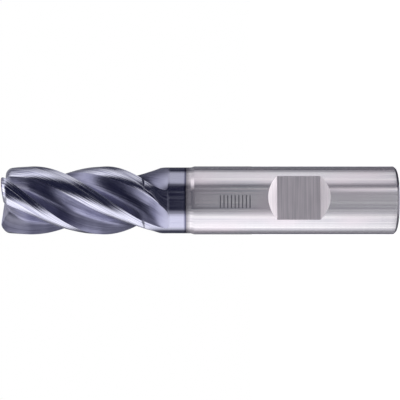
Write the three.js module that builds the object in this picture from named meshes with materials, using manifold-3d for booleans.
// Four-flute solid carbide end mill with corner radii and a flatted cylindrical shank.
// Millimetres. The tool stands on its shank: z = 0 is the shank end face and +Z runs
// along the tool axis to the cutting end. The clamping flat faces -Y.
import * as THREE from 'three';
import Module from 'manifold-3d';

const wasm = await Module();
wasm.setup();

// Lengths along the axis, from the cutting end down to the shank end.
const CUT_LENGTH = 32.5;
const RELIEF_RUNOUT = 2;
const SCOOP_LENGTH = 4.3;
const PLAIN_NECK = 5.2;
const SHANK_LENGTH = 48;
const BARE_BAND = 1.1;
const STEP_CHAMFER = 0.85;
const END_CHAMFER = 0.5;

// Radii.
const CUT_RADIUS = 8;
const SHANK_RADIUS = 8;
const NECK_CLEARANCE = 0.25;
const CORE_SHARE = 0.635;
const CORNER_RADIUS = 1.5;

// Clamping flat on the shank.
const FLAT_DEPTH = 1.8;
const FLAT_LENGTH = 10;
const FLAT_CENTRE = 23.1;
const FLAT_WALL_ANGLE = 40;

// Teeth: the helix alternates so that the pitch is even only at one height.
const TEETH = 4;
const HELIX_ANGLES = [34.2, 38.7];
const EVEN_PITCH_AT = 16;
const FIRST_EDGE = -140;

// Width of the teeth about the axis, from edge to heel: thicker towards the cutting end
// and narrower where the flutes run out.
const BACK_ANGLE = 36.4;
const TIP_THICKENING = 12;
const THICK_LENGTH = 8;
const RUNOUT_NARROWING = 15;
const NARROWS_FROM = 20;
const NARROWS_TO = 37;

// Relief behind each cutting edge: a slight land, then a steeper relief down to the heel.
const LAND_ANGLE = 13.5;
const LAND_DROP = 0.16;
const RELIEF_ANGLE = 21;

// Flute floor: the path on which the flute rises out of the core, and its section.
const RISE_RADIUS = 47;
const FLOOR_AT = 0.45;
const SCOOP_FLOOR_AT = 0.62;
const SCOOP_BLUNTNESS = 0.15;
const HEEL_SIDE_POWER = 1.85;

// Points along one tooth pitch of an outline.
const FLUTE_POINTS = 8;
const RELIEF_STEPS = 4;
const LAND_STEPS = 3;

// Cutting end: hollow dish, relief behind each end tooth and the gash in front of it.
const DISH_ANGLE = 2;
const END_LAND_RELIEF = 5;
const END_HEEL_RELIEF = 9;
const GASH_DEPTH = 2.6;
const BLEND_LENGTH = 7;

const HEAD_LENGTH = CUT_LENGTH + RELIEF_RUNOUT;
const SCOOP_END = HEAD_LENGTH + SCOOP_LENGTH;
const NECK_END = SCOOP_END + PLAIN_NECK;
const TIP_Z = NECK_END + SHANK_LENGTH;
const SEAM_Z = TIP_Z - HEAD_LENGTH;
const COATING_Z = SHANK_LENGTH + BARE_BAND;
const NECK_RADIUS = CUT_RADIUS - NECK_CLEARANCE;
const CORE_RADIUS = CUT_RADIUS * CORE_SHARE;
const FLAT_Y = FLAT_DEPTH - SHANK_RADIUS;
const PITCH = 360 / TEETH;
const FULL_DEPTH = NECK_RADIUS - CORE_RADIUS;
const RISE_START = SCOOP_END - Math.sqrt(2 * RISE_RADIUS * FULL_DEPTH);

const radians = (degrees) => (degrees * Math.PI) / 180;
const mix = (a, b, t) => a + (b - a) * t;

/** 0 before `from`, 1 after `to`, smooth between. */
function ramp(value, from, to) {
  const t = Math.min(1, Math.max(0, (value - from) / (to - from)));
  return t * t * (3 - 2 * t);
}

/** Values evenly spaced from one value to another, the first left out. */
function steps(from, to, count) {
  return Array.from({ length: count }, (_, k) => mix(from, to, (k + 1) / count));
}

/** Angle of a cutting edge at distance s from the tip, from -Y towards +X. */
function edgeAngle(tooth, s) {
  const helix = radians(HELIX_ANGLES[tooth % HELIX_ANGLES.length]);
  const turnPerMm = (Math.tan(helix) / CUT_RADIUS) * (180 / Math.PI);
  return FIRST_EDGE + PITCH * tooth - turnPerMm * (s - EVEN_PITCH_AT);
}

/** Angle from a cutting edge back to its heel. */
function backAngle(s) {
  const thicker = TIP_THICKENING * Math.max(0, 1 - s / THICK_LENGTH);
  return BACK_ANGLE + thicker - RUNOUT_NARROWING * ramp(s, NARROWS_FROM, NARROWS_TO);
}

/** Radius swept by the cutting edges, before the neck clearance. */
function edgeRadius(s) {
  const short = Math.max(0, CORNER_RADIUS - s);
  return CUT_RADIUS - CORNER_RADIUS + Math.sqrt(CORNER_RADIUS ** 2 - short ** 2);
}

/** Depth to which the blank is ground down behind the cutting length. */
function clearance(s) {
  return NECK_CLEARANCE * ramp(s, CUT_LENGTH, CUT_LENGTH + 1);
}

/** Radial drops of the relief at distance s, at its heel and where the land begins. */
function reliefDrops(s) {
  const kept = 1 - ramp(s, HEAD_LENGTH, SCOOP_END);
  const slope = Math.tan(radians(RELIEF_ANGLE)) * CUT_RADIUS;
  const heel = LAND_DROP + slope * radians(backAngle(s) - LAND_ANGLE);
  return { heel: heel * kept, land: LAND_DROP * kept };
}

/** Radius of the tooth's back at distance s, at a share t of the way from heel to edge. */
function toothRadius(s, t) {
  const { heel, land } = reliefDrops(s);
  const landAt = 1 - LAND_ANGLE / backAngle(s);
  const drop = t < landAt ? mix(heel, land, t / landAt) : (land * (1 - t)) / (1 - landAt);
  return edgeRadius(s) - Math.max(drop, clearance(s));
}

/** Share of the way from heel to edge at which the relief meets the land, or the neck. */
function breakAt(s) {
  const { heel, land } = reliefDrops(s);
  const landAt = 1 - LAND_ANGLE / backAngle(s);
  const above = heel - Math.max(land, clearance(s));
  return landAt * Math.max(0.05, above / Math.max(0.01, heel - land));
}

/** Depth of the flute floor below the neck radius. */
function fluteDepth(s) {
  const risen = Math.max(0, s - RISE_START);
  return Math.max(0.01, FULL_DEPTH - risen ** 2 / (2 * RISE_RADIUS));
}

/** Floor, start and end of the flute across the gap from one edge to the next heel. */
function fluteSpan(s) {
  const floor = mix(FLOOR_AT, SCOOP_FLOOR_AT, ramp(s, RISE_START, SCOOP_END));
  if (s <= CUT_LENGTH) {
    return { floor, start: 0, end: 1 };
  }
  const width = (fluteDepth(s) / fluteDepth(CUT_LENGTH)) ** SCOOP_BLUNTNESS;
  return { floor, start: floor * (1 - width), end: floor + (1 - floor) * width };
}

/** Share of the rise from the flute floor to its side, steeper on the rake side. */
function fluteShape(u, span) {
  if (u < span.floor) {
    return ((span.floor - u) / (span.floor - span.start)) ** 3;
  }
  return ((u - span.floor) / (span.end - span.floor)) ** HEEL_SIDE_POWER;
}

/** How far back from the tip plane the end surface lies at a point of the end tooth. */
function endRelief(radius, behind) {
  const inside = Math.max(0, CUT_RADIUS - CORNER_RADIUS - radius);
  const dish = inside * Math.tan(radians(DISH_ANGLE));
  const land = Math.min(behind, LAND_ANGLE);
  const rest = Math.max(0, behind - LAND_ANGLE);
  const rise = radians(land) * Math.tan(radians(END_LAND_RELIEF));
  return dish + radius * (rise + radians(rest) * Math.tan(radians(END_HEEL_RELIEF)));
}

/** The end surface across a flute: the gash, deepest at the flute floor. */
function gashRelief(radius, u, back) {
  const gash = (GASH_DEPTH * radius) / CORE_RADIUS;
  if (u < FLOOR_AT) {
    return mix(endRelief(radius, 0), gash, u / FLOOR_AT);
  }
  const across = (u - FLOOR_AT) / (1 - FLOOR_AT);
  return mix(gash, endRelief(radius, back), across);
}

/** A point of the outline: polar position and its distance s from the tip plane. */
function outlinePoint(angle, radius, s) {
  const turn = radians(angle - 90);
  return [radius * Math.cos(turn), radius * Math.sin(turn), TIP_Z - s];
}

/** Shares of the way from a heel to its cutting edge, with a point where the relief ends. */
function backShares(s) {
  const relief = steps(0, breakAt(s), RELIEF_STEPS);
  return [0, ...relief, ...steps(breakAt(s), 1, LAND_STEPS).slice(0, -1)];
}

/** The points of one tooth pitch: edge, flute, then the back of the next tooth from its heel. */
function pitchPoints(tooth, s, share) {
  const span = fluteSpan(s);
  const back = backAngle(s);
  const blend = Math.max(0, 1 - s / BLEND_LENGTH);
  const floorRadius = NECK_RADIUS - fluteDepth(s);
  const crest = toothRadius(s, 1);
  const gap = (at) => edgeAngle(tooth + 1, at) - edgeAngle(tooth, at) - back;
  const inFlute = (u) => (at) => edgeAngle(tooth, at) + gap(at) * u;
  const nextEdge = (at) => edgeAngle(tooth + 1, at) + gap(at) * span.start;
  const onBack = (t) => (at) => mix(inFlute(span.end)(at), nextEdge(at), t);
  const place = (radius, relief, angleAt) => {
    const at = s + relief * blend;
    return outlinePoint(angleAt(at), radius * share, at);
  };
  const points = [place(crest, endRelief(crest * share, 0), inFlute(span.start))];
  for (const t of steps(0, 1, FLUTE_POINTS + 1).slice(0, -1)) {
    const u = mix(span.start, span.end, t);
    const side = toothRadius(s, u < span.floor ? 1 : 0);
    const radius = Math.min(mix(floorRadius, side, fluteShape(u, span)), crest);
    points.push(place(radius, gashRelief(radius * share, t, back), inFlute(u)));
  }
  for (const t of backShares(s)) {
    const radius = toothRadius(s, t);
    points.push(place(radius, endRelief(radius * share, back * (1 - t)), onBack(t)));
  }
  return points;
}

/** One closed outline of the fluted part. */
function section(s, share = 1) {
  const ring = [];
  for (let tooth = 0; tooth < TEETH; tooth += 1) {
    ring.push(...pitchPoints(tooth, s, share));
  }
  return ring;
}

/** A closed body from rings of equal length, highest first, with a centre point at each end. */
function loft(rings, top, bottom) {
  const count = rings[0].length;
  const positions = [top, ...rings.flat(), bottom].flat();
  const last = rings.length * count + 1;
  const at = (ring, k) => 1 + ring * count + (k % count);
  const faces = [];
  for (let k = 0; k < count; k += 1) {
    faces.push(0, at(0, k), at(0, k + 1));
    faces.push(last, at(rings.length - 1, k + 1), at(rings.length - 1, k));
    for (let ring = 0; ring + 1 < rings.length; ring += 1) {
      faces.push(at(ring, k), at(ring + 1, k), at(ring + 1, k + 1));
      faces.push(at(ring, k), at(ring + 1, k + 1), at(ring, k + 1));
    }
  }
  const geometry = new THREE.BufferGeometry();
  geometry.setAttribute('position', new THREE.Float32BufferAttribute(positions, 3));
  geometry.setIndex(faces);
  return geometry;
}

/** The fluted head, from the end teeth to the end of the relief. */
function headGeometry() {
  const cap = [0.3, 0.6, 0.85].map((share) => section(0, share));
  const corner = steps(0, CORNER_RADIUS, 5).map((s) => s ** 1.5 / CORNER_RADIUS ** 0.5);
  const heights = [0, ...corner, ...steps(CORNER_RADIUS, CUT_LENGTH, 31)];
  heights.push(...steps(CUT_LENGTH, HEAD_LENGTH, 6));
  const rings = [...cap, ...heights.map((s) => section(s))];
  return loft(rings, [0, 0, TIP_Z - endRelief(0, 0)], [0, 0, SEAM_Z]);
}

/** The neck, into which the flutes rise and where the coating ends. */
function neckGeometry() {
  const scoops = [HEAD_LENGTH, ...steps(HEAD_LENGTH, SCOOP_END, 9)].map((s) => section(s));
  const round = scoops[scoops.length - 1].map(([x, y]) => [x, y, COATING_Z]);
  return loft([...scoops, round], [0, 0, SEAM_Z], [0, 0, COATING_Z]);
}

/** An indexed geometry as a solid for cutting. */
function toSolid(geometry) {
  const mesh = new wasm.Mesh({
    numProp: 3,
    vertProperties: new Float32Array(geometry.attributes.position.array),
    triVerts: new Uint32Array(geometry.index.array),
  });
  mesh.merge();
  return new wasm.Manifold(mesh);
}

/** A cut solid back as a geometry. */
function toGeometry(solid) {
  const mesh = solid.getMesh();
  const geometry = new THREE.BufferGeometry();
  geometry.setAttribute('position', new THREE.BufferAttribute(mesh.vertProperties, 3));
  geometry.setIndex(new THREE.BufferAttribute(mesh.triVerts, 1));
  return geometry;
}

/** A regular ring of points round the axis. */
function circle(radius, z) {
  const count = 72;
  return Array.from({ length: count }, (_, k) => {
    const turn = (2 * Math.PI * (k + 0.5)) / count;
    return [radius * Math.cos(turn), radius * Math.sin(turn), z];
  });
}

/** The cutter of the clamping flat: a flat floor with end walls sloping out. */
function flatCutter() {
  const low = FLAT_CENTRE - FLAT_LENGTH / 2;
  const high = FLAT_CENTRE + FLAT_LENGTH / 2;
  const reach = FLAT_DEPTH + 1;
  const spread = reach / Math.tan((FLAT_WALL_ANGLE * Math.PI) / 180);
  const side = [
    [FLAT_Y, high],
    [FLAT_Y - reach, high + spread],
    [FLAT_Y - reach, low - spread],
    [FLAT_Y, low],
  ];
  const ends = [SHANK_RADIUS, -SHANK_RADIUS].map((x) => side.map(([y, z]) => [x, y, z]));
  const centre = (x) => [x, FLAT_Y - reach / 2, FLAT_CENTRE];
  return loft(ends, centre(SHANK_RADIUS), centre(-SHANK_RADIUS));
}

/** The bare ground shank with its step, end chamfer and clamping flat. */
function shankGeometry() {
  const rings = [
    circle(NECK_RADIUS, COATING_Z),
    circle(NECK_RADIUS, SHANK_LENGTH),
    circle(SHANK_RADIUS, SHANK_LENGTH - STEP_CHAMFER),
    circle(SHANK_RADIUS, END_CHAMFER),
    circle(SHANK_RADIUS - END_CHAMFER, 0),
  ];
  const blank = toSolid(loft(rings, [0, 0, COATING_Z], [0, 0, 0]));
  return toGeometry(blank.subtract(toSolid(flatCutter())));
}

/** One named piece of the tool in its own finish. */
function piece(name, geometry, color, roughness, metalness) {
  const material = new THREE.MeshStandardMaterial({ color, roughness, metalness });
  const mesh = new THREE.Mesh(geometry, material);
  mesh.name = name;
  geometry.computeVertexNormals();
  return mesh;
}

const group = new THREE.Group();
group.name = 'end_mill';
group.add(piece('fluted_head', headGeometry(), 0x4a4a66, 0.4, 0.8));
group.add(piece('neck', neckGeometry(), 0x45455e, 0.45, 0.8));
group.add(piece('shank', shankGeometry(), 0xb9b9bf, 0.3, 1.0));

export default group;
